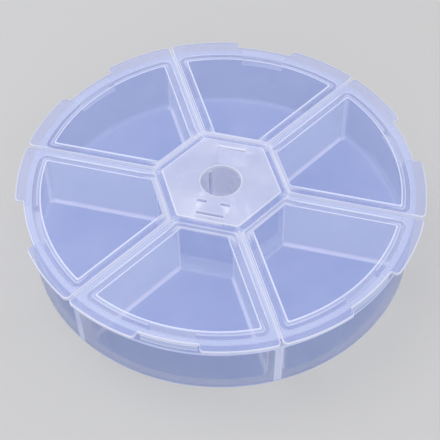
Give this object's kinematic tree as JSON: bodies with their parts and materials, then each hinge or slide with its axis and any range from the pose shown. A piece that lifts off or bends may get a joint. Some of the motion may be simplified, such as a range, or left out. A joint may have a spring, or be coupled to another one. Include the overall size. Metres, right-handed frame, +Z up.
{
  "type": "bead storage box",
  "caption": "Round milky-clear storage box with wedge compartments, each under its own flip lid on a living hinge round a hexagonal hub.",
  "frame": {"origin": "middle of the flat underside that the box stands on", "axes": "+Z up through the centre hole; +X along the middle of lid 1; lids are numbered anticlockwise seen from above"},
  "size_m": [0.1028, 0.1044, 0.02],
  "materials": {
    "tray_plastic": "milky translucent polypropylene, smooth moulded",
    "lid_plastic": "milky translucent polypropylene, smooth moulded"
  },
  "bodies": {
    "tray": {"tray": "tray_plastic", "hub_plate": "lid_plastic", "hinge_web_1": "lid_plastic", "hinge_web_2": "lid_plastic", "hinge_web_3": "lid_plastic", "hinge_web_4": "lid_plastic", "hinge_web_5": "lid_plastic", "hinge_web_6": "lid_plastic"},
    "lid_1": {"lid_1": "lid_plastic"},
    "lid_2": {"lid_2": "lid_plastic"},
    "lid_3": {"lid_3": "lid_plastic"},
    "lid_4": {"lid_4": "lid_plastic"},
    "lid_5": {"lid_5": "lid_plastic"},
    "lid_6": {"lid_6": "lid_plastic"}
  },
  "joints": [
    {"name": "lid_1_hinge", "type": "hinge", "parent": "tray", "child": "lid_1", "pos_m": [0.0147, 0, 0.0192], "axis": [0, -1, 0], "range_deg": [0, 85], "deforming": ["hinge_web_1"]},
    {"name": "lid_2_hinge", "type": "hinge", "parent": "tray", "child": "lid_2", "pos_m": [0.00735, 0.01273, 0.0192], "axis": [-0.866, 0.5, 0], "range_deg": [-85, 0], "deforming": ["hinge_web_2"]},
    {"name": "lid_3_hinge", "type": "hinge", "parent": "tray", "child": "lid_3", "pos_m": [-0.00735, 0.01273, 0.0192], "axis": [0.866, 0.5, 0], "range_deg": [0, 85], "deforming": ["hinge_web_3"]},
    {"name": "lid_4_hinge", "type": "hinge", "parent": "tray", "child": "lid_4", "pos_m": [-0.0147, 0, 0.0192], "axis": [0, -1, 0], "range_deg": [-85, 0], "deforming": ["hinge_web_4"]},
    {"name": "lid_5_hinge", "type": "hinge", "parent": "tray", "child": "lid_5", "pos_m": [-0.00735, -0.01273, 0.0192], "axis": [-0.866, 0.5, 0], "range_deg": [0, 85], "deforming": ["hinge_web_5"]},
    {"name": "lid_6_hinge", "type": "hinge", "parent": "tray", "child": "lid_6", "pos_m": [0.00735, -0.01273, 0.0192], "axis": [0.866, 0.5, 0], "range_deg": [-85, 0], "deforming": ["hinge_web_6"]}
  ]
}
